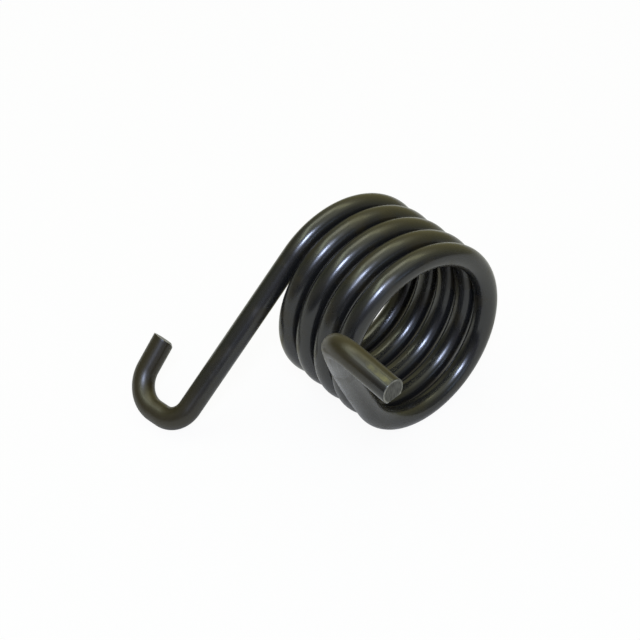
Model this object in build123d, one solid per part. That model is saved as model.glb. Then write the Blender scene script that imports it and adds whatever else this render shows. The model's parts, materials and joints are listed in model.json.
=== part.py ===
from build123d import *
import math
import os

# A torsion spring of round wire: an open left-hand coil, a straight leg that ends in a hook
# of two bends, and a tang that rises from the coil's front turn and turns, at an elbow, into
# a short leg along the coil. It is drawn in the coil's own frame, with Z along the coil from
# the back turn to the front one and X through the point where the hooked leg leaves. It is
# then laid down as it rests on a level surface: coil level along Y with its front towards -Y,
# +Z up. The origin is on the coil's axis, halfway along the coil.

# Driving sizes, in millimetres and degrees
wire_dia = 4.0
coil_inner_dia = 26.0
turn_gap = 0.65  # between one turn and the next, along the coil
coil_turns = 4.8

leg_length = 31.7
heel_inner_radius = 2.4
heel_bend = 82.0
hook_back_length = 1.9
hook_inner_radius = 3.5
hook_bend = 92.0
hook_roll = 84.0  # about the leg: 0 curls away from the coil's axis, 90 curls backwards
hook_tail_length = 5.7

tang_length = 28.6
tang_bow_radius = 74.0
elbow_inner_radius = 3.6
elbow_bend = 82.2
axial_leg_length = 7.0

# Sheared ends, each with a flat where the cutter nipped the rim. A clock angle names a side of
# the wire: 0 is the inner side of the bend before it, counted round by the right-hand rule
hook_cut_lean = 6.0
hook_cut_clock = 71.0
hook_nip_depth = 0.7
hook_nip_slope = 40.0
hook_nip_clock = 40.0
axial_cut_lean = 16.0
axial_cut_clock = 172.0
axial_nip_depth = 0.3
axial_nip_slope = 65.0
axial_nip_clock = -25.0
rim_rounding = 0.12

# Sizes that follow
wire_radius = wire_dia / 2
coil_radius = coil_inner_dia / 2 + wire_radius
coil_pitch = wire_dia + turn_gap
coil_height = coil_pitch * coil_turns
heel_radius = heel_inner_radius + wire_radius
hook_radius = hook_inner_radius + wire_radius
elbow_radius = elbow_inner_radius + wire_radius
shear_stock = wire_dia  # wire past each end, more than the oblique cut takes off
steepest_slope = 90.0  # of the leg, below level
slope_halvings = 50


def wire_along(line):
    """Round wire along one smooth line."""
    section = Plane(origin=line @ 0, z_dir=line % 0) * Circle(wire_radius)
    return sweep(section, path=line)


def side_of_wire(heading, bend_axis, clock):
    """Unit vector square to the wire, on the side that a clock angle names."""
    across = bend_axis.cross(heading)
    turn = math.radians(clock)
    return across * math.cos(turn) + bend_axis * math.sin(turn)


def leaned(heading, side, angle):
    """The wire's heading, leaned by an angle towards one of its sides."""
    lean = math.radians(angle)
    return heading * math.cos(lean) + side * math.sin(lean)


def sheared_wire(line, bend_axis, cut_lean, cut_clock, nip_depth, nip_slope, nip_clock):
    """The last straight of the wire: sheared off at the line's end, with the cutter's nip."""
    tip = line @ 1
    heading = line % 1
    wire = wire_along(Line(line @ 0, tip + heading * shear_stock))
    cut_side = side_of_wire(heading, bend_axis, cut_clock)
    cut = Plane(origin=tip, z_dir=leaned(heading, cut_side, cut_lean))
    wire = split(wire, bisect_by=cut, keep=Keep.BOTTOM)
    cut_face = wire.faces().sort_by(Axis(tip, heading))[-1]
    wire = fillet(cut_face.edges(), rim_rounding)
    nip_side = side_of_wire(heading, bend_axis, nip_clock)
    nip_point = tip + nip_side * (wire_radius - nip_depth)
    nip = Plane(origin=nip_point, z_dir=leaned(heading, nip_side, nip_slope))
    return split(wire, bisect_by=nip, keep=Keep.BOTTOM)


def hooked_leg(coil):
    """Leg, heel, hook back, hook and tail: flat, in a plane rolled about the leg."""
    heading = -(coil % 0)
    outward = Vector(1, 0, 0)
    roll = math.radians(hook_roll)
    curl = outward * math.cos(roll) + heading.cross(outward) * math.sin(roll)
    bend_axis = heading.cross(curl)
    plane = Plane(origin=coil @ 0, x_dir=heading, z_dir=bend_axis)
    leg = Line((0, 0), (leg_length, 0))
    heel = JernArc(leg @ 1, leg % 1, heel_radius, heel_bend)
    back = Line(heel @ 1, heel @ 1 + (heel % 1) * hook_back_length)
    hook = JernArc(back @ 1, back % 1, hook_radius, hook_bend)
    tail = plane * Line(hook @ 1, hook @ 1 + (hook % 1) * hook_tail_length)
    end = sheared_wire(
        tail,
        bend_axis,
        hook_cut_lean,
        hook_cut_clock,
        hook_nip_depth,
        hook_nip_slope,
        hook_nip_clock,
    )
    wire = wire_along(plane * leg) + wire_along(plane * heel)
    return wire + wire_along(plane * back) + wire_along(plane * hook) + end


def tang_and_axial_leg(coil):
    """Tang, elbow and axial leg: one flat bend, in the plane that grazes the front turn."""
    heading = coil % 1
    forward = Vector(0, 0, 1)
    bend_axis = heading.cross(forward).normalized()
    plane = Plane(origin=coil @ 1, x_dir=heading, z_dir=bend_axis)
    tang = JernArc((0, 0), (1, 0), tang_bow_radius, math.degrees(tang_length / tang_bow_radius))
    elbow = JernArc(tang @ 1, tang % 1, elbow_radius, elbow_bend)
    straight = plane * Line(elbow @ 1, elbow @ 1 + (elbow % 1) * axial_leg_length)
    end = sheared_wire(
        straight,
        bend_axis,
        axial_cut_lean,
        axial_cut_clock,
        axial_nip_depth,
        axial_nip_slope,
        axial_nip_clock,
    )
    return wire_along(plane * tang) + wire_along(plane * elbow) + end


def hook_underside(slope):
    """Lowest height of the hook's centreline when the leg falls at this slope from level."""
    lead = math.atan2(coil_pitch, 2 * math.pi * coil_radius)
    fall = math.radians(slope)
    roll = math.radians(hook_roll)
    drop = math.cos(lead) * math.sin(fall)  # of the leg, per mm
    curl_rise = math.cos(roll) * math.cos(fall) + math.sin(roll) * math.sin(lead) * math.sin(fall)

    def height_gained(radius, start, end):
        """Over a bend's arc, between two angles that are counted from the leg's heading."""
        forward = math.sin(end) - math.sin(start)
        sideways = math.cos(start) - math.cos(end)
        return radius * (curl_rise * sideways - drop * forward)

    level_at = math.atan2(drop, curl_rise)
    heel_end = min(level_at, math.radians(heel_bend))
    height = coil_radius * math.cos(fall) - leg_length * drop
    height += height_gained(heel_radius, 0.0, heel_end)
    if level_at > heel_end:
        height += hook_back_length * (math.sin(heel_end) * curl_rise - math.cos(heel_end) * drop)
        height += height_gained(hook_radius, heel_end, level_at)
    return height


def resting_slope():
    """The leg's slope at which the hook lies as low as the undersides of the turns."""
    low = 0.0
    high = steepest_slope
    for _ in range(slope_halvings):
        slope = (low + high) / 2
        if hook_underside(slope) > -coil_radius:
            low = slope
        else:
            high = slope
    return (low + high) / 2


def laid_down(spring):
    """Turned from the coil's frame to the way that the spring rests."""
    slope = math.radians(resting_slope())
    leg_start = Vector(-math.sin(slope), 0, math.cos(slope))
    return Plane(origin=(0, 0, 0), x_dir=leg_start, z_dir=(0, -1, 0)) * spring


coil = Helix(coil_pitch, coil_height, coil_radius, center=(0, 0, -coil_height / 2), lefthand=True)
spring_wire = laid_down(wire_along(coil) + hooked_leg(coil) + tang_and_axial_leg(coil))

os.makedirs("parts", exist_ok=True)
export_step(spring_wire, "parts/spring_wire.step")
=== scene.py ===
# %% [markdown]
# # A torsion spring in dark, oil-tempered steel
#
# This lesson dresses one part: a left-hand coil of round wire with a hooked leg at the back and
# a bent leg at the front. The whole spring is one length of wire, so the whole model is one
# surface: a circle carried along a line. We work the line out, put a skin round it, shear its
# two ends, and give it the finish of oil-tempered steel. A plain white table, a dim room and six
# soft lamps do the rest.

import json
import math

import bpy
import numpy as np
from mathutils import Matrix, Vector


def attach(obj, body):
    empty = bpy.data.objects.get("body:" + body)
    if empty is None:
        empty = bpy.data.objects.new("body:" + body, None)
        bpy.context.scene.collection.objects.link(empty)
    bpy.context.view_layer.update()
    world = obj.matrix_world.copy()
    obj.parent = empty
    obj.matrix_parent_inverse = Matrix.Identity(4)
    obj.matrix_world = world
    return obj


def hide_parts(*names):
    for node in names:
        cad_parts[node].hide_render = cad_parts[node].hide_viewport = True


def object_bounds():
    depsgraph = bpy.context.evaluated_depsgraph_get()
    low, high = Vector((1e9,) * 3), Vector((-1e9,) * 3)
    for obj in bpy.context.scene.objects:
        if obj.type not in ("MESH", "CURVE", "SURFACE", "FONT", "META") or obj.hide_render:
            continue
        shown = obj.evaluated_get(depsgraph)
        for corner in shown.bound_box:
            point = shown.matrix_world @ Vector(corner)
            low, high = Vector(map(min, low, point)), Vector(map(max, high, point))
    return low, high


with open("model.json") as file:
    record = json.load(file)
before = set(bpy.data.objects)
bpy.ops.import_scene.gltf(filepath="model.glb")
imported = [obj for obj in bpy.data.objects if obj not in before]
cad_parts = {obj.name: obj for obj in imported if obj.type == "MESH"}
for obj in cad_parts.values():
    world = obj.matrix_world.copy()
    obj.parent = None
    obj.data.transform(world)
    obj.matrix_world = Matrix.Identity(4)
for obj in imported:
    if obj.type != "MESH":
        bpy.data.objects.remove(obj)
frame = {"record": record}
cad_low, cad_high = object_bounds()
print("solid's box, mm:", [round(1000 * (b - a), 2) for a, b in zip(cad_low, cad_high)])

# %% [markdown]
# ## Sizes
#
# Every length below is a real one, in metres. The wire's diameter, the coil's bore and the gap
# between turns set the coil. Everything else is a straight or a bend of the same wire. They are
# the sizes of the solid that we loaded, so that the skin fits it.

# %% The sizes of the wire, the coil and the two legs
MM = 0.001

wire_radius = 2.0 * MM
coil_radius = 15.0 * MM
coil_pitch = 4.65 * MM
coil_turns = 4.8

leg_length = 31.7 * MM
heel_radius = 4.4 * MM
heel_bend = math.radians(82.0)
hook_back_length = 1.9 * MM
hook_radius = 5.5 * MM
hook_bend = math.radians(92.0)
hook_roll = math.radians(84.0)
hook_tail_length = 5.7 * MM

tang_length = 28.6 * MM
tang_bow_radius = 74.0 * MM
elbow_radius = 5.6 * MM
elbow_bend = math.radians(82.2)
axial_leg_length = 7.0 * MM

coil_outside = 2.0 * (coil_radius + wire_radius)
coil_height = coil_pitch * coil_turns
print(f"coil: {1000 * coil_outside:.1f} mm outside, {1000 * coil_height:.2f} mm end to end")

# %% [markdown]
# ## The line of the wire
#
# A wire is easiest to think of as a path. At each point of the path we need four things: where
# it is, where it heads, and two directions square to the heading that say how the round section
# is turned. A straight, a bend and a coil each give these four by a formula, so one call works
# out the whole stretch as arrays, with one row for each section.
#
# The coil is drawn first, in its own frame: its axis is Z, and it starts on the X axis. It winds
# left-handed, so the angle runs backwards as the height grows.


# %% Helpers for the directions
def unit(vectors):
    """Each vector divided by its own length."""
    vectors = np.asarray(vectors, float)
    return vectors / np.linalg.norm(vectors, axis=-1, keepdims=True)


def stretch(places, headings, sides):
    """One stretch of the path: places, headings, and two directions square to each heading.
    The third direction is heading x side."""
    headings = unit(headings)
    sides = unit(sides)
    return {"at": places, "heading": headings, "side": sides, "third": np.cross(headings, sides)}


def joined(stretches):
    """Several stretches as one, end to end. The first section of each later stretch repeats the
    last one of the stretch before it, so it is left out."""
    keys = ("at", "heading", "side", "third")
    return {k: np.concatenate([s[k][min(i, 1):] for i, s in enumerate(stretches)]) for k in keys}


# %% Helpers for the three kinds of stretch
def straight(start, heading, side, length, spacing):
    """Straight wire: start + t * heading, for t from 0 to the length."""
    count = max(2, round(length / spacing) + 1)
    t = np.linspace(0.0, length, count)[:, None]
    places = start + t * heading
    return stretch(places, np.tile(heading, (count, 1)), np.tile(side, (count, 1)))


def bend(start, heading, inward, radius, angle, spacing):
    """A bend in one plane: start + radius * (sin a * heading + (1 - cos a) * inward), for a from
    0 to the angle. The side of each section is the inner side of the bend."""
    count = max(3, round(radius * angle / spacing) + 1)
    a = np.linspace(0.0, angle, count)[:, None]
    places = start + radius * (np.sin(a) * heading + (1.0 - np.cos(a)) * inward)
    headings = np.cos(a) * heading + np.sin(a) * inward
    sides = np.cos(a) * inward - np.sin(a) * heading
    return stretch(places, headings, sides)


def left_hand_coil(radius, pitch, turns, spacing):
    """A left-hand helix: (radius * cos a, -radius * sin a, pitch * (a / 2 pi - turns / 2)), for a
    from 0 to turns * 2 pi. The side of each section points at the coil's axis."""
    angle = turns * 2.0 * math.pi
    count = round(radius * angle / spacing) + 1
    a = np.linspace(0.0, angle, count)
    climb = pitch / (2.0 * math.pi)
    places = np.stack([radius * np.cos(a), -radius * np.sin(a), climb * (a - angle / 2)], axis=1)
    headings = np.stack([-radius * np.sin(a), -radius * np.cos(a), np.full(count, climb)], axis=1)
    sides = np.stack([-np.cos(a), np.sin(a), np.zeros(count)], axis=1)
    return stretch(places, headings, sides)


def end_of(s):
    """Where a stretch ends, how it heads there, and its side: the start of the next one."""
    return s["at"][-1], s["heading"][-1], s["side"][-1]


# %% The coil
section_spacing = 0.5 * MM
bend_spacing = 0.25 * MM

coil = left_hand_coil(coil_radius, coil_pitch, coil_turns, section_spacing)
print("coil:", len(coil["at"]), "sections")

# %% [markdown]
# ## The hooked leg
#
# At the back of the coil the wire runs straight off, along the tangent, and then turns nearly
# half way round into a hook. A wire bender makes such a hook in two blows: a tight bend at the
# heel, a short straight back, and a wider bend that brings the tail round. One even half circle
# would look wrong, since the hook's back is visibly flat. The hook doesn't lie in the plane of
# the turn: its plane is rolled about the leg, so it curls backwards, clear of the coil.
#
# The path goes from the hook's end to the coil, so we build the leg and the hook outwards from
# the coil and then read the rows the other way round.

# %% The hooked leg
off_the_coil = -coil["heading"][0]
outward = -coil["side"][0]
backward = np.cross(off_the_coil, outward)
hook_inward = math.cos(hook_roll) * outward + math.sin(hook_roll) * backward

leg = straight(coil["at"][0], off_the_coil, hook_inward, leg_length, section_spacing)
heel = bend(*end_of(leg), heel_radius, heel_bend, bend_spacing)
hook_back = straight(*end_of(heel), hook_back_length, bend_spacing)
hook = bend(*end_of(hook_back), hook_radius, hook_bend, bend_spacing)
hook_tail = straight(*end_of(hook), hook_tail_length, bend_spacing)
hooked_leg = joined([leg, heel, hook_back, hook, hook_tail])

across_the_eye = np.cross(hook_tail["at"][0] - leg["at"][-1], off_the_coil)
eye_width = np.linalg.norm(across_the_eye) - 2.0 * wire_radius
print(f"hooked leg: {len(hooked_leg['at'])} sections, hook eye {1000 * eye_width:.1f} mm wide")

# %% [markdown]
# ## The bent leg
#
# At the front the wire runs off along the other tangent. This tang bows a little forwards and
# then turns, at a tight elbow, into a short leg that points along the coil, the prong. All three
# lie in the one plane that holds the tangent and the coil's direction.

# %% The bent leg
off_the_front = coil["heading"][-1]
forward = np.array([0.0, 0.0, 1.0])
bent_leg_inward = unit(forward - (forward @ off_the_front) * off_the_front)
tang_bow = tang_length / tang_bow_radius

tang = bend(coil["at"][-1], off_the_front, bent_leg_inward, tang_bow_radius, tang_bow,
            section_spacing)
elbow = bend(*end_of(tang), elbow_radius, elbow_bend, bend_spacing)
axial_leg = straight(*end_of(elbow), axial_leg_length, bend_spacing)
bent_leg = joined([tang, elbow, axial_leg])
print("bent leg:", len(bent_leg["at"]), "sections")

# %% [markdown]
# ## One path from end to end
#
# The skin needs one path with no sudden twist. Each stretch chose its own side direction, so
# where two stretches meet, the second one's sections are turned about the wire until their side
# is the side of the section before. A round wire looks the same however it is turned, so this
# costs nothing, and the grid of the skin stays straight.


# %% Helpers that put stretches in line
def other_way(s):
    """The same stretch walked from its end to its start."""
    return stretch(s["at"][::-1], -s["heading"][::-1], s["side"][::-1])


def lined_up(before, after):
    """`after` with all its sections turned by one angle, so that its first side is the last side
    of `before`."""
    wanted = before["side"][-1]
    angle = math.atan2(wanted @ after["third"][0], wanted @ after["side"][0])
    sides = math.cos(angle) * after["side"] + math.sin(angle) * after["third"]
    return stretch(after["at"], after["heading"], sides)


# %% The whole path, in the coil's frame
back_part = other_way(hooked_leg)
middle_part = lined_up(back_part, coil)
front_part = lined_up(middle_part, bent_leg)
path = joined([back_part, middle_part, front_part])

steps = np.linalg.norm(np.diff(path["at"], axis=0), axis=1)
path_length = np.concatenate([[0.0], np.cumsum(steps)])
print(f"path: {len(path_length)} sections, {1000 * path_length[-1]:.1f} mm of wire")

# %% [markdown]
# ## Laid down as it rests
#
# The solid lies on its side: the coil's axis is level, along Y, and the hook touches the table
# as the coil does. The record gives the hook's place in that frame, and we know the same place
# in the coil's frame. Both lie on a circle round the coil's axis, so the angle between them is
# the turn that lays our path down exactly where the solid is.

# %% Turn from the coil's frame to the resting one
hook_centre = hook["at"][0] + hook_radius * hook["side"][0]
hook_mount = next(m for m in frame["record"]["mounts"] if m["name"] == "hook")
mount_x, _, mount_z = hook_mount["pos_m"]
resting_turn = math.atan2(-mount_x, mount_z) - math.atan2(hook_centre[1], hook_centre[0])

laid_x = np.array([-math.sin(resting_turn), 0.0, math.cos(resting_turn)])
laid_z = np.array([0.0, -1.0, 0.0])
laid = np.stack([laid_x, np.cross(laid_z, laid_x), laid_z])  # rows: where X, Y and Z go

path = {key: values @ laid for key, values in path.items()}
off_the_mount = np.linalg.norm(hook_centre @ laid - hook_mount["pos_m"])
print(f"turned by {math.degrees(resting_turn):.2f} degrees")
print(f"the hook's middle is {1000 * off_the_mount:.3f} mm from its mount")

# %% [markdown]
# ## Sheared ends
#
# The wire was cut to length in a shear, and each end shows it: the cut leans a little, the rim
# is rolled over, and the cutter nipped a flat at one side. On one part of the rim the metal was
# dragged into a thin burr.
#
# An end is a height over the round section: for each point of the section, how far the metal
# reaches past the path's last point. Cut and nip are two planes, so the height is the lower of
# two sloping planes. The skin's wall stops at that height, a quarter circle carries it round
# the rim, and rings of falling radius close the face.

# %% What the shear left at each end
rim_rounding = 0.12 * MM
burr_height = 0.10 * MM
burr_width = math.radians(26.0)
burr_begins = 0.8  # this share of the wire's radius
burr_run = 0.2  # and this share of it on which the burr rises

hook_end = {
    "tip": path["at"][0],
    "heading": -path["heading"][0],
    "inner": hook_tail["side"][-1] @ laid,
    "side": path["side"][0],
    "third": path["third"][0],
    "lean": 6.0,
    "cut_clock": 71.0,
    "nip_depth": 0.7 * MM,
    "nip_slope": 40.0,
    "nip_clock": 40.0,
    "burr_clock": 230.0,
}
prong_end = {
    "tip": path["at"][-1],
    "heading": path["heading"][-1],
    "inner": axial_leg["side"][-1] @ laid,
    "side": path["side"][-1],
    "third": path["third"][-1],
    "lean": 16.0,
    "cut_clock": 172.0,
    "nip_depth": 0.3 * MM,
    "nip_slope": 65.0,
    "nip_clock": -25.0,
    "burr_clock": 185.0,
}
print(f"cuts lean by {hook_end['lean']:.0f} and {prong_end['lean']:.0f} degrees")


# %% Helpers for the shape of an end
def clock_direction(end, degrees):
    """A direction square to the wire: 0 is the inner side of the bend before the end, and the
    angle grows by the right-hand rule about the end's heading."""
    a = math.radians(degrees)
    return math.cos(a) * end["inner"] + math.sin(a) * np.cross(end["heading"], end["inner"])


def cut_height(across, end):
    """How far the cut metal reaches along the heading, at points `across` the section: the lower
    of the leaning cut, -tan(lean) * s, and the steep nip, -tan(slope) * (n - radius + depth),
    where s and n are how far the point lies to the cut's and the nip's own side."""
    to_cut = across @ clock_direction(end, end["cut_clock"])
    to_nip = across @ clock_direction(end, end["nip_clock"])
    leaning = -math.tan(math.radians(end["lean"])) * to_cut
    steep = -math.tan(math.radians(end["nip_slope"])) * (to_nip - wire_radius + end["nip_depth"])
    return np.minimum(leaning, steep)


def burr(across, end):
    """A lip along part of the rim: burr height * rise^3 * exp(-(angle from the lip / width)^2).
    The rise goes from 0 to 1 over the outer part of the radius."""
    lip = clock_direction(end, end["burr_clock"])
    radius = np.linalg.norm(across, axis=-1)
    off_lip = np.arccos(np.clip(across @ lip / np.maximum(radius, rim_rounding), -1.0, 1.0))
    past_begin = radius - burr_begins * wire_radius
    rise = np.clip(past_begin / (burr_run * wire_radius), 0.0, 1.0) ** 3
    return burr_height * rise * np.exp(-((off_lip / burr_width) ** 2))


def end_height(across, end):
    """The height of the whole end: the cut metal and the burr on it."""
    return cut_height(across, end) + burr(across, end)


# %% [markdown]
# ## The skin
#
# The skin is a grid. One parameter runs along the path, the other runs round the section:
# place = path + radius * (cos a * side + sin a * third). The rows of the two last straights are
# stretched a little, more and more towards the end, so that the wall meets the leaning cut.

# %% Helpers for the skin
points_round = 64
rim_rows = 6
face_rows = 14

clock = np.linspace(0.0, 2.0 * math.pi, points_round, endpoint=False)
clock_cos = np.cos(clock)[None, :, None]
clock_sin = np.sin(clock)[None, :, None]


def rings(places, sides, thirds, radii):
    """Rings of points: place + radius * (cos a * side + sin a * third), one ring for each row."""
    round_it = clock_cos * sides[:, None] + clock_sin * thirds[:, None]
    return places[:, None] + np.asarray(radii)[:, None, None] * round_it


def closing_rings(end):
    """The rings that close an end, from the rim to near the middle. The first rows follow a
    quarter circle, with q from 0 to 90 degrees: the radius is the wire's less rounding *
    (1 - cos q), and the height drops by rounding * (1 - sin q). The rest run in over the face."""
    quarter = np.linspace(0.0, math.pi / 2, rim_rows)[1:]
    rim_radii = wire_radius - rim_rounding * (1.0 - np.cos(quarter))
    rim_drop = rim_rounding * (1.0 - np.sin(quarter))
    face_radii = np.linspace(wire_radius - rim_rounding, 0.0, face_rows + 1)[1:-1]
    radii = np.concatenate([rim_radii, face_radii])
    drop = np.concatenate([rim_drop, np.zeros(len(face_radii))])
    count = len(radii)
    sides = np.tile(end["side"], (count, 1))
    thirds = np.tile(end["third"], (count, 1))
    across = rings(np.zeros((count, 3)), sides, thirds, radii)
    height = end_height(across, end) - drop[:, None]
    return end["tip"] + across + height[..., None] * end["heading"]


# %% The wall of the skin
skin = rings(path["at"], path["side"], path["third"], np.full(len(path["at"]), wire_radius))
hook_rows = slice(0, len(hook_tail["at"]))
prong_rows = slice(-len(axial_leg["at"]), None)


def lean_the_wall(rows, tip_row, end):
    """Moves the wall's rows along the heading, by the end's height at the rim times how near the
    row is to the end."""
    across = skin[tip_row] - end["tip"]
    reach = end_height(across, end) - rim_rounding
    away = np.linalg.norm(path["at"][rows] - end["tip"], axis=1)
    nearness = 1.0 - away / away.max()
    skin[rows] += (nearness[:, None] * reach)[..., None] * end["heading"]


lean_the_wall(hook_rows, 0, hook_end)
lean_the_wall(prong_rows, -1, prong_end)
print("wall:", skin.shape[0], "rings of", skin.shape[1], "points")

# %% The two ends
first_cap = closing_rings(hook_end)
last_cap = closing_rings(prong_end)
print("each end:", len(first_cap), "rings")

# %% [markdown]
# ## The flat on the prong
#
# The tool that bent the prong gripped it near its end, and pressed a long, shallow flat into its
# upper side. On a round wire even a few hundredths of a millimetre make a flat as wide as a
# pencil line. Whatever reaches past the flat's plane is moved back onto it.

# %% Press the flat in
flat_length = 5.4 * MM
flat_run_out = 0.8 * MM
flat_depth = 0.05 * MM
flat_clock = 170.0
flat_side = clock_direction(prong_end, flat_clock)


def past_the_flat(points, middles, depth):
    """How far points reach past a plane that lies `depth` below the wire's surface."""
    return np.maximum((points - middles) @ flat_side - (wire_radius - depth), 0.0)


to_the_end = path_length[-1] - path_length[prong_rows]
begun = np.clip((flat_length - to_the_end) / flat_run_out, 0.0, 1.0)
depths = flat_depth * begun ** 2 * (3.0 - 2.0 * begun)  # a smooth step over the run-out
pressed = past_the_flat(skin[prong_rows], path["at"][prong_rows, None], depths[:, None])
skin[prong_rows] -= pressed[..., None] * flat_side
last_cap -= past_the_flat(last_cap, prong_end["tip"], flat_depth)[..., None] * flat_side
print(f"flat: up to {1000 * pressed.max():.3f} mm deep, {np.count_nonzero(pressed[-1])} points wide")

# %% [markdown]
# ## From the grid to a mesh
#
# Two single points close the middles of the end faces. Each mesh corner also gets a place on the
# unrolled wire, in a UV map: how far along the wire, and how far round it, both in centimetres.
# Marks that follow the wire, such as drawing lines, are then easy.

# %% Helper that makes the closed mesh
CENTIMETRES = 100.0  # in a metre


def closed_mesh(name, grid, first_pole, last_pole, along):
    """A closed mesh from rings: four-sided faces between neighbouring rings, and a fan of
    triangles at each pole. Rings go round by the right-hand rule about the way they follow each
    other, which makes the faces point outwards. `along` is each ring's place on the wire."""
    rows, columns = grid.shape[:2]
    number = np.arange(rows * columns).reshape(rows, columns)
    beside = np.roll(number, -1, axis=1)
    quads = np.stack([number[:-1], beside[:-1], beside[1:], number[1:]], axis=-1).reshape(-1, 4)
    low_pole = np.full(columns, rows * columns)
    high_pole = low_pole + 1
    first_fan = np.stack([low_pole, beside[0], number[0]], axis=-1)
    last_fan = np.stack([high_pole, number[-1], beside[-1]], axis=-1)
    faces = quads.tolist() + first_fan.tolist() + last_fan.tolist()
    points = np.concatenate([grid.reshape(-1, 3), [first_pole, last_pole]])
    mesh = bpy.data.meshes.new(name)
    mesh.from_pydata(points.tolist(), [], faces)
    mesh.update()

    u = CENTIMETRES * along
    v = CENTIMETRES * 2.0 * math.pi * wire_radius * np.arange(columns + 1) / columns
    left, right, middle = v[:-1], v[1:], (v[:-1] + v[1:]) / 2
    before, after = u[:-1, None], u[1:, None]
    corners = (before, left, before, right, after, right, after, left)
    quad_uv = np.stack([np.broadcast_to(c, (rows - 1, columns)) for c in corners], axis=-1)
    first_corners = (u[0], middle, u[0], right, u[0], left)
    last_corners = (u[-1], middle, u[-1], left, u[-1], right)
    fan_uv = [np.stack([np.broadcast_to(c, columns) for c in fan], axis=-1)
              for fan in (first_corners, last_corners)]
    uv = mesh.uv_layers.new(name="wire")
    uv.data.foreach_set("uv", np.concatenate([part.ravel() for part in (quad_uv, *fan_uv)]))
    mesh.polygons.foreach_set("use_smooth", np.ones(len(mesh.polygons), bool))
    return mesh


# %% The mesh of the whole wire
def pole(end):
    """The point in the middle of an end face."""
    return end["tip"] + cut_height(np.zeros((1, 3)), end)[0] * end["heading"]


grid = np.concatenate([first_cap[::-1], skin, last_cap])
cap_rows = len(first_cap)
# On the unrolled wire, an end face reaches one radius past the wire's last section.
cap_along = wire_radius * np.arange(1, cap_rows + 1) / cap_rows
along = np.concatenate([-cap_along[::-1], path_length, path_length[-1] + cap_along])
mesh = closed_mesh("spring_wire_skin", grid, pole(hook_end), pole(prong_end), along)
print("mesh:", len(mesh.vertices), "points,", len(mesh.polygons), "faces")

# %% [markdown]
# ## Where the tools left their marks
#
# Four numbers on each point tell the shader about the marks that belong to a place, since a
# pattern can't know where the tools were. `bare_metal` is how much of the dark skin is gone: all
# of it on the sheared faces, some of it on the flat, and most of it on the burr. `tool_rubbed`
# is where the bending tools rubbed the hook and the elbow. The third number marks the flat, whose
# yellow colour paints a highlight band over the wear, and the fourth the rims, whose lighter colour
# paints the line of light along them and, strongest on the burr, a glint.

# %% Which rings lie where
bare_rings = cap_rows - rim_rows // 2
hook_rim = slice(cap_rows - rim_rows, cap_rows)
prong_rim = slice(-cap_rows, rim_rows - cap_rows)
flat_rings = slice(-(cap_rows + len(pressed)), -cap_rows)
print("rings at each end that are all bare:", bare_rings)


# %% Helpers for the numbers on the points
def bell(middle, half_width):
    """A smooth hill along the wire: 1 at the middle, falling as exp(-(distance / half_width)^4)."""
    return np.exp(-(((along - middle) / half_width) ** 4))


def numbers_on_points(name, values):
    """Keeps one number for each point of the grid, and the first and last one for the poles."""
    attribute = mesh.attributes.new(name, "FLOAT", "POINT")
    all_values = np.concatenate([values.ravel(), [values[0, 0], values[-1, 0]]])
    attribute.data.foreach_set("value", all_values.astype(np.float32))
    print(f"{name}: {all_values.min():.2f} to {all_values.max():.2f}")


# %% The flat and the burr
flat_fade = 0.3  # the share of the flat's depth over which its edge fades
# How bare the flat is, growing towards the end: real wear, and also the strength of its painted
# highlight band.
flat_wear_and_highlight_at_first = 0.10
flat_wear_and_highlight_more_at_end = 0.20

flat_share = np.clip(pressed / (flat_fade * flat_depth), 0.0, 1.0)
along_the_flat = np.clip(1.0 - to_the_end / flat_length, 0.0, 1.0)
flat_wear_and_highlight = flat_wear_and_highlight_at_first + flat_wear_and_highlight_more_at_end * along_the_flat

across_the_rim = last_cap[:rim_rows] - prong_end["tip"]
on_burr = burr(across_the_rim, prong_end) / burr_height

# %% Bare metal, and the flat and the rims with their painted highlights
# Rims rubbed smooth: lower roughness, and a lighter colour that paints the line of light along the
# rim.
rim_polish_and_highlight = 0.4

bare = np.zeros(grid.shape[:2])
bare[:bare_rings] = 1.0
bare[-bare_rings:] = 1.0
bare[flat_rings] = flat_wear_and_highlight[:, None] * flat_share
bare[prong_rim] = np.maximum(bare[prong_rim], on_burr)
numbers_on_points("bare_metal", bare)

# The flat, where a yellow colour paints a highlight band over the tool's wear.
flat_and_painted_highlight = np.zeros(grid.shape[:2])
flat_and_painted_highlight[flat_rings] = flat_share
numbers_on_points("flat_and_painted_highlight", flat_and_painted_highlight)

# The rims, and the burr most of all: a lighter colour there paints the rim's line of light and the
# burr's glint.
polish_and_painted_glint = np.zeros(grid.shape[:2])
polish_and_painted_glint[hook_rim] = rim_polish_and_highlight
polish_and_painted_glint[prong_rim] = np.maximum(rim_polish_and_highlight, on_burr)
numbers_on_points("polish_and_painted_glint", polish_and_painted_glint)

# %% The parts that the bending tools rubbed
hook_parts = (hook_tail, hook, hook_back, heel)
hook_length = path_length[sum(len(part["at"]) for part in hook_parts)]
hook_rub_middle = 0.45 * hook_length
hook_rub_reach = 0.62 * hook_length
elbow_rub_middle = path_length[-1] - axial_leg_length - elbow_radius * elbow_bend / 2
elbow_rub_reach = 8.0 * MM

rubbed_rings = np.maximum(bell(hook_rub_middle, hook_rub_reach),
                          bell(elbow_rub_middle, elbow_rub_reach))
numbers_on_points("tool_rubbed", np.repeat(rubbed_rings[:, None], points_round, axis=1))

# %% The piece takes the solid's place
spring = bpy.data.objects.new("spring_wire_skin", mesh)
bpy.context.scene.collection.objects.link(spring)
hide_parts("spring_wire")
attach(spring, "root")
print("piece:", spring.name)

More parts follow.
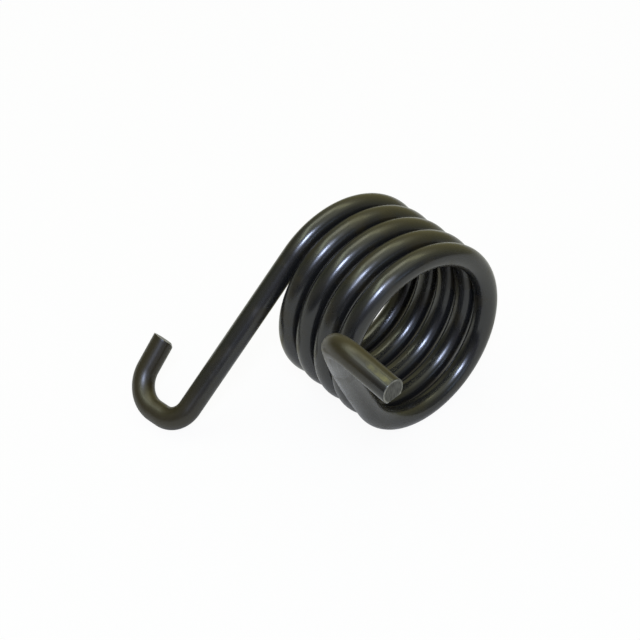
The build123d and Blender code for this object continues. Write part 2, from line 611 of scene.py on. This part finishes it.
# %% [markdown]
# ## Oil-tempered steel
#
# Oil tempering leaves a thin, dark oxide on the wire, and a film of oil stays on that. Oxide is
# no bare metal: it reflects about as little as glass or paint does, so its metallic value is 0
# and its own colour is close to black. What we see on it is mostly what it mirrors, and so the
# finish is made in how it mirrors: a thin, sharper coat, the oil, over a duller base, the oxide.
#
# A shader could look its marks up in space, but the marks of a drawn wire follow the wire. The
# UV map gives both its directions. The distance round the section is turned into a point on a
# circle first, so that the marks close on themselves without a seam.


# %% Helpers for numbers in a shader
def number_node(tree, operation, first, second=0.5, third=0.5):
    """A math node. An input is a number, which is set, or another node's output, to be linked."""
    node = tree.nodes.new("ShaderNodeMath")
    node.operation = operation
    for socket, value in zip(node.inputs, (first, second, third)):
        if isinstance(value, (int, float)):
            socket.default_value = value
        else:
            tree.links.new(value, socket)
    return node.outputs[0]


def number_on_points(tree, name):
    """The number that the mesh keeps on each point under this name."""
    node = tree.nodes.new("ShaderNodeAttribute")
    node.attribute_name = name
    return node.outputs["Fac"]


def ranged(tree, value, low, high, to_low=0.0, to_high=1.0):
    """A smooth step of a value: `to_low` up to `low`, `to_high` from `high` on."""
    node = tree.nodes.new("ShaderNodeMapRange")
    node.interpolation_type = "SMOOTHSTEP"
    node.inputs["From Min"].default_value = low
    node.inputs["From Max"].default_value = high
    node.inputs["To Min"].default_value = to_low
    node.inputs["To Max"].default_value = to_high
    tree.links.new(value, node.inputs["Value"])
    return node.outputs["Result"]


def mixed(tree, share, first, second):
    """Two colours or two numbers mixed by a share: first * (1 - share) + second * share. A colour
    is a constant or another node's output, and a number is another node's output."""
    node = tree.nodes.new("ShaderNodeMix")
    is_number = not isinstance(second, tuple) and second.type == "VALUE"
    node.data_type = "FLOAT" if is_number else "RGBA"
    tree.links.new(share, node.inputs["Factor"])
    for socket, value in ((node.inputs["A"], first), (node.inputs["B"], second)):
        if isinstance(value, tuple):
            socket.default_value = (*value, 1.0)
        else:
            tree.links.new(value, socket)
    return node.outputs["Result"]


# %% Helpers for patterns and relief
def noise(tree, vector, grains, detail):
    """Noise between about 0.3 and 0.7. `grains` says how many grains fit into one unit of the
    vector, in each of its directions."""
    stretched = tree.nodes.new("ShaderNodeVectorMath")
    stretched.operation = "MULTIPLY"
    stretched.inputs[1].default_value = grains
    tree.links.new(vector, stretched.inputs[0])
    node = tree.nodes.new("ShaderNodeTexNoise")
    node.inputs["Scale"].default_value = 1.0
    node.inputs["Detail"].default_value = detail
    tree.links.new(stretched.outputs[0], node.inputs["Vector"])
    return node.outputs["Fac"]


def bumped(tree, height, depth, below=None):
    """A normal that follows a height between 0 and 1, as deep as `depth`, on top of another."""
    node = tree.nodes.new("ShaderNodeBump")
    node.inputs["Strength"].default_value = 1.0
    node.inputs["Distance"].default_value = depth
    tree.links.new(height, node.inputs["Height"])
    if below is not None:
        tree.links.new(below, node.inputs["Normal"])
    return node.outputs["Normal"]


# %% Where the marks lie: a place on the wire, and a place in the spring
steel = bpy.data.materials.new("oil_tempered_steel")
steel.use_nodes = True
tree = steel.node_tree
tree.nodes.clear()

unrolled = tree.nodes.new("ShaderNodeUVMap")
unrolled.uv_map = "wire"
on_wire = tree.nodes.new("ShaderNodeSeparateXYZ")
tree.links.new(unrolled.outputs["UV"], on_wire.inputs["Vector"])
round_angle = number_node(tree, "DIVIDE", on_wire.outputs["Y"], CENTIMETRES * wire_radius)
wire_point = tree.nodes.new("ShaderNodeCombineXYZ")
tree.links.new(on_wire.outputs["X"], wire_point.inputs["X"])
tree.links.new(number_node(tree, "COSINE", round_angle), wire_point.inputs["Y"])
tree.links.new(number_node(tree, "SINE", round_angle), wire_point.inputs["Z"])
wire_space = wire_point.outputs["Vector"]

in_space = tree.nodes.new("ShaderNodeTexCoord").outputs["Object"]
print("material:", steel.name)

# %% [markdown]
# ## The marks
#
# There are five kinds, from the largest to the smallest. Patches, some millimetres across, are
# where the oil has dried or been wiped off. The coiling and bending tools rubbed the hook and the
# elbow dull and a little brown. Streaks run a long way along the wire, from the drawing die.
# Fine die lines lie between them, and a grain covers everything.

# %% How fine and how deep the marks are
patch_grains = (210.0, 210.0, 210.0)  # to a metre
fine_grains = (2600.0, 2600.0, 2600.0)
streak_grains = (0.45, 2.6, 2.6)  # to a centimetre of wire, and to its radius across
die_line_grains = (0.8, 16.0, 16.0)

streak_depth = 0.010 * MM
die_line_depth = 0.0035 * MM
fine_depth = 0.0012 * MM

# %% The five kinds of mark
patches = noise(tree, in_space, patch_grains, detail=4.0)
streaks = noise(tree, wire_space, streak_grains, detail=3.0)
die_lines = noise(tree, wire_space, die_line_grains, detail=2.0)
grain = noise(tree, in_space, fine_grains, detail=2.0)
tool_rubbed = number_on_points(tree, "tool_rubbed")

streak_relief = bumped(tree, streaks, streak_depth)
drawn_relief = bumped(tree, die_lines, die_line_depth, below=streak_relief)
oxide_relief = bumped(tree, grain, fine_depth, below=drawn_relief)

# %% [markdown]
# A dull place is rougher, browner and less oily than a clean one. On a scale from 0 to 1, a wiped
# patch is dull by 0.5 at most and a place that a tool rubbed by 0.8. Where both meet, the
# stronger one counts.

# %% The oxide and its film of oil
wiped_dulls = 0.5
tool_dulls = 0.8
black_oxide = (0.008, 0.008, 0.008)
brown_oxide = (0.016, 0.011, 0.002)
smooth_oxide, rough_oxide = 0.21, 0.29
dull_roughens = 0.18
oil_on_clean, oil_on_dull = 0.15, 0.03

wiped = number_node(tree, "MULTIPLY", ranged(tree, patches, 0.50, 0.68), wiped_dulls)
dull = number_node(tree, "MAXIMUM", wiped, number_node(tree, "MULTIPLY", tool_rubbed, tool_dulls))

oxide_colour = mixed(tree, dull, black_oxide, brown_oxide)
streaky = ranged(tree, streaks, 0.3, 0.7, smooth_oxide, rough_oxide)
oxide_roughness = number_node(tree, "MULTIPLY_ADD", dull, dull_roughens, streaky)
oil = ranged(tree, dull, 0.0, tool_dulls, oil_on_clean, oil_on_dull)

# %% [markdown]
# The sheared faces are bare steel, so this is a metal: metallic 1, and a dark grey as its colour.
# The cutter dragged fine scratches over it, all in one direction, which make it look satiny. It
# rubbed the rims smooth here and there, and their lighter colour paints the line of light along
# the rim and the glint on the burr. The gripping tool rubbed the flat on the prong towards bare
# steel, and its yellow colour is partly a painted highlight band.

# %% The bare steel
scratch_grains = (9000.0, 9000.0, 1100.0)  # to a metre
blotch_grains = (1100.0, 1100.0, 1100.0)
scratch_depth = 0.012 * MM
dark_steel = (0.055, 0.055, 0.052)
scratched_steel = (0.11, 0.11, 0.105)
# Painted highlight: this yellow stands in for the bright band of light along the flat.
yellow_steel_painted_highlight = (0.36, 0.34, 0.13)
# Painted highlight: this light grey paints the line of light along the rims and the glint on the
# burr.
polished_steel_painted_highlight = (0.50, 0.50, 0.46)
rough_steel, satin_steel = 0.48, 0.34
polish_smooths = 0.25
least_of_a_blotch = 0.35

bare_metal = number_on_points(tree, "bare_metal")
polish_and_glint = number_on_points(tree, "polish_and_painted_glint")
scratches = noise(tree, in_space, scratch_grains, detail=2.0)
blotches = noise(tree, in_space, blotch_grains, detail=2.0)
here_and_there = ranged(tree, blotches, 0.40, 0.60, least_of_a_blotch, 1.0)
# Where the flat's painted yellow highlight goes, in blotches.
painted_flat_highlight = number_node(tree, "MULTIPLY", number_on_points(tree, "flat_and_painted_highlight"), here_and_there)
# Where the rims' painted highlight goes, strongest on the burr.
polish_and_highlight_share = number_node(tree, "MULTIPLY", polish_and_glint, here_and_there)

steel_colour = mixed(tree, ranged(tree, scratches, 0.35, 0.65), dark_steel, scratched_steel)
steel_colour = mixed(tree, painted_flat_highlight, steel_colour, yellow_steel_painted_highlight)
steel_colour = mixed(tree, polish_and_highlight_share, steel_colour, polished_steel_painted_highlight)
satin = ranged(tree, scratches, 0.3, 0.7, rough_steel, satin_steel)
steel_roughness = number_node(tree, "MULTIPLY_ADD", polish_and_glint, -polish_smooths, satin)

# %% [markdown]
# One shader holds both the oxide and the steel. Its metallic value, its colour, its roughness and
# its oil all go from the one to the other by how bare the place is. Two shaders mixed would look
# the same here, but other programs read one shader's maps better than a mix.

# %% One shader for both
oxide_ior = 1.55
oil_ior = 1.47
oil_roughness = 0.13

centred = number_node(tree, "SUBTRACT", scratches, 0.5)
scratch_height = number_node(tree, "MULTIPLY", centred, bare_metal)
relief = bumped(tree, scratch_height, scratch_depth, below=oxide_relief)
still_oiled = number_node(tree, "SUBTRACT", 1.0, bare_metal)

finish = tree.nodes.new("ShaderNodeBsdfPrincipled")
finish.inputs["IOR"].default_value = oxide_ior
finish.inputs["Coat IOR"].default_value = oil_ior
finish.inputs["Coat Roughness"].default_value = oil_roughness
for socket_name, source in (
    ("Base Color", mixed(tree, bare_metal, oxide_colour, steel_colour)),
    ("Metallic", bare_metal),
    ("Roughness", mixed(tree, bare_metal, oxide_roughness, steel_roughness)),
    ("Coat Weight", number_node(tree, "MULTIPLY", oil, still_oiled)),
    ("Normal", relief),
    ("Coat Normal", relief),
):
    tree.links.new(source, finish.inputs[socket_name])
output = tree.nodes.new("ShaderNodeOutputMaterial")
tree.links.new(finish.outputs["BSDF"], output.inputs["Surface"])
mesh.materials.append(steel)
print("finish:", len(tree.nodes), "shader nodes")

# %% [markdown]
# ## The table
#
# The spring lies on a plain white table. The camera sees mostly the table's own glow, of strength
# 1, so it stays white without strong lamps. The rest of it is ordinary pale paper, which takes
# light and so keeps the spring's soft shadow. Mirror reflections see less of the glow, and in a
# slightly warm white, since a bright table all round would wash the dark wire out.

# %% The table's flat square
table_height = cad_low[2]
table_half = 6.0
table_signs = [(-1, -1), (1, -1), (1, 1), (-1, 1)]
table_points = [(table_half * x, table_half * y, table_height) for x, y in table_signs]
table_mesh = bpy.data.meshes.new("table")
table_mesh.from_pydata(table_points, [], [(0, 1, 2, 3)])
table = bpy.data.objects.new("table", table_mesh)
bpy.context.scene.collection.objects.link(table)
print(f"table: {-1000 * table_height:.1f} mm below the coil's axis")

# %% The table's white
paper_colour = (0.60, 0.60, 0.60)
glow_colour = (1.0, 1.0, 1.0)
mirrored_glow_colour = (0.85, 0.78, 0.66)
glow_seen = 0.94
glow_mirrored = 0.24

white_table = bpy.data.materials.new("white_table")
white_table.use_nodes = True
tree = white_table.node_tree
tree.nodes.clear()

paper = tree.nodes.new("ShaderNodeBsdfDiffuse")
paper.inputs["Color"].default_value = (*paper_colour, 1.0)
ray = tree.nodes.new("ShaderNodeLightPath")
is_seen = ray.outputs["Is Camera Ray"]
glow = tree.nodes.new("ShaderNodeEmission")
glow.inputs["Strength"].default_value = 1.0
tree.links.new(mixed(tree, is_seen, mirrored_glow_colour, glow_colour), glow.inputs["Color"])

seen = number_node(tree, "MULTIPLY", is_seen, glow_seen)
glow_share = number_node(tree, "MULTIPLY_ADD", ray.outputs["Is Glossy Ray"], glow_mirrored, seen)

share = tree.nodes.new("ShaderNodeMixShader")
tree.links.new(glow_share, share.inputs[0])
tree.links.new(paper.outputs[0], share.inputs[1])
tree.links.new(glow.outputs[0], share.inputs[2])
output = tree.nodes.new("ShaderNodeOutputMaterial")
tree.links.new(share.outputs[0], output.inputs["Surface"])
table_mesh.materials.append(white_table)
print("material:", white_table.name)

# %% [markdown]
# ## The room
#
# Dark steel is a mirror for the room, so a single grey world would make it look like rubber.
# This room is black on the far left, dim in the middle, and lighter and warmer to the right and
# the back, with a white ceiling. A colour ramp along one slanted axis gives the walls: its
# position is the dot product of the axis and the way a ray goes. The ceiling is a soft disc
# round straight up, and a cool light comes in low from the front.


# %% Helper for directions
def direction(azimuth, elevation):
    """Unit vector from the spring towards a place at this azimuth and elevation, in degrees.
    Azimuth 0 is in front, at -Y, and 90 is at the right, at +X."""
    a, e = math.radians(azimuth), math.radians(elevation)
    return np.array([math.sin(a) * math.cos(e), -math.cos(a) * math.cos(e), math.sin(e)])


# %% The colours of the room
room_axis = direction(110.0, 35.0)
wall_colours = [  # dot product with the axis, and the colour there
    (-0.75, (0.0, 0.0, 0.0)),
    (-0.5, (0.22, 0.20, 0.14)),
    (-0.2, (0.27, 0.26, 0.19)),
    (0.1, (0.15, 0.16, 0.07)),
    (0.4, (0.25, 0.24, 0.15)),
    (0.7, (0.42, 0.41, 0.22)),
    (1.0, (0.60, 0.54, 0.23)),
]
straight_up = (0.0, 0.0, 1.0)
ceiling_begins = 0.55
ceiling_colour = (0.72, 0.74, 0.58)
front_axis = direction(-3.0, 0.0)
front_begins = 0.45
front_colour = (0.0, 0.0, 0.085)


# %% Helpers for the room's light
def ray_along(tree, ray_direction, axis):
    """The dot product of a ray's direction with an axis."""
    node = tree.nodes.new("ShaderNodeVectorMath")
    node.operation = "DOT_PRODUCT"
    node.inputs[1].default_value = axis
    tree.links.new(ray_direction, node.inputs[0])
    return node.outputs["Value"]


def light_added(tree, share, before, colour):
    """The light so far, plus a colour times a share."""
    node = tree.nodes.new("ShaderNodeMix")
    node.data_type = "RGBA"
    node.blend_type = "ADD"
    node.inputs["B"].default_value = (*colour, 1.0)
    tree.links.new(share, node.inputs["Factor"])
    tree.links.new(before, node.inputs["A"])
    return node.outputs["Result"]


def ramp_position(dot):
    """A dot product between -1 and 1 as a place between 0 and 1: (dot + 1) / 2."""
    return (dot + 1.0) / 2.0


# %% The walls
world = bpy.data.worlds.new("room")
bpy.context.scene.world = world
world.use_nodes = True
tree = world.node_tree
tree.nodes.clear()
ray_direction = tree.nodes.new("ShaderNodeTexCoord").outputs["Generated"]

walls = tree.nodes.new("ShaderNodeValToRGB")
walls.color_ramp.interpolation = "LINEAR"
stops = walls.color_ramp.elements
for dot, _ in wall_colours[2:]:  # a new ramp has two stops already
    stops.new(ramp_position(dot))
for stop, (dot, colour) in zip(sorted(stops, key=lambda e: e.position), wall_colours):
    stop.position = ramp_position(dot)
    stop.color = (*colour, 1.0)
along_the_room = ray_along(tree, ray_direction, room_axis)
halved = number_node(tree, "MULTIPLY_ADD", along_the_room, 0.5, 0.5)
tree.links.new(halved, walls.inputs["Fac"])
print("walls:", len(stops), "colours")

# %% The ceiling and the cool light in front
overhead = ranged(tree, ray_along(tree, ray_direction, straight_up), ceiling_begins, 1.0)
in_front = ranged(tree, ray_along(tree, ray_direction, front_axis), front_begins, 1.0)
with_ceiling = light_added(tree, overhead, walls.outputs["Color"], ceiling_colour)
room = light_added(tree, in_front, with_ceiling, front_colour)

background = tree.nodes.new("ShaderNodeBackground")
tree.links.new(room, background.inputs["Color"])
output = tree.nodes.new("ShaderNodeOutputWorld")
tree.links.new(background.outputs[0], output.inputs["Surface"])
print("room:", len(tree.nodes), "shader nodes")

# %% [markdown]
# ## The lamps
#
# Soft lamps give the wire its lines of light. A small, bright, cool window at the upper left
# draws the short streak on each turn, and a wide, faint one round it makes the streak fade out
# slowly. Three dim panels high up and one low in front draw the long, thin lines. A lamp's power
# follows from how bright its face should look: power = radiance * pi * area.

# %% Helper for a soft lamp
lamp_distance = 1.0


def side_for(degrees):
    """The side of a lamp that looks this wide from the spring: 2 * distance * tan(angle / 2)."""
    return 2.0 * lamp_distance * math.tan(math.radians(degrees) / 2)


def soft_lamp(name, middle, along, length, width, face):
    """A rectangular lamp that faces the spring from `lamp_distance` away. `middle` and `along` are
    directions, and the long side points from the one to the other. Length and width are angles
    as seen from the spring. `face` is how bright the lamp looks in red, green and blue."""
    facing = unit(middle)
    long_way = unit(along - (along @ facing) * facing)
    radiance = max(face)
    data = bpy.data.lights.new(name, "AREA")
    data.shape = "RECTANGLE"
    data.size = side_for(length)
    data.size_y = side_for(width)
    data.energy = radiance * math.pi * data.size * data.size_y
    data.color = [value / radiance for value in face]
    lamp = bpy.data.objects.new(name, data)
    bpy.context.scene.collection.objects.link(lamp)
    turned = Matrix(np.stack([long_way, np.cross(facing, long_way), facing], axis=1).tolist())
    lamp.matrix_world = Matrix.Translation(lamp_distance * facing) @ turned.to_4x4()


# %% The lamps: where, along which way, how long and wide, and how bright
lamps = [
    ("window", direction(-42, 49.5), direction(-42, 60), 14.0, 12.0, (32.0, 37.0, 51.0)),
    ("window_haze", direction(-40, 47), direction(-20, 42), 34.0, 24.0, (0.80, 0.95, 1.65)),
    ("left_panel", direction(-125, 62), direction(-160, 55), 46.0, 10.0, (3.2, 3.5, 2.6)),
    ("back_panel", direction(175, 70), direction(175, 50), 26.0, 22.0, (1.9, 1.9, 1.5)),
    ("right_panel", direction(115, 66), direction(150, 60), 40.0, 14.0, (1.4, 1.4, 0.8)),
    ("low_front", direction(0, 20), direction(30, 20), 30.0, 12.0, (0.75, 1.0, 1.35)),
]
for lamp in lamps:
    soft_lamp(*lamp)
print("lamps:", len(lamps))

# %% [markdown]
# ## The camera
#
# The camera looks down at the spring from the left of the front, close by and with a short
# telephoto lens. Where it is and how it is turned are written as the place of its lens and two
# directions: where the picture's right side and its lower side lie.

# %% The camera
camera_place = np.array([-134.678, -148.150, 160.600]) * MM
camera_right = unit([0.772013, -0.635556, -0.008029])
camera_down = unit([-0.405931, -0.483288, -0.775663])
camera_lens = 84.342  # in millimetres, as the sensor is
camera_sensor = 36.0
nearest, farthest = 0.01, 20.0

camera_data = bpy.data.cameras.new("camera")
camera_data.lens = camera_lens
camera_data.sensor_width = camera_sensor
camera_data.clip_start = nearest
camera_data.clip_end = farthest
camera = bpy.data.objects.new("camera", camera_data)
bpy.context.scene.collection.objects.link(camera)
camera_up = -camera_down
camera_back = np.cross(camera_right, camera_up)
turned = Matrix(np.stack([camera_right, camera_up, camera_back], axis=1).tolist())
camera.matrix_world = Matrix.Translation(camera_place) @ turned.to_4x4()
bpy.context.scene.camera = camera
bpy.context.scene.view_settings.view_transform = "Standard"
print(f"camera: {np.linalg.norm(camera_place):.3f} m from the coil's middle")
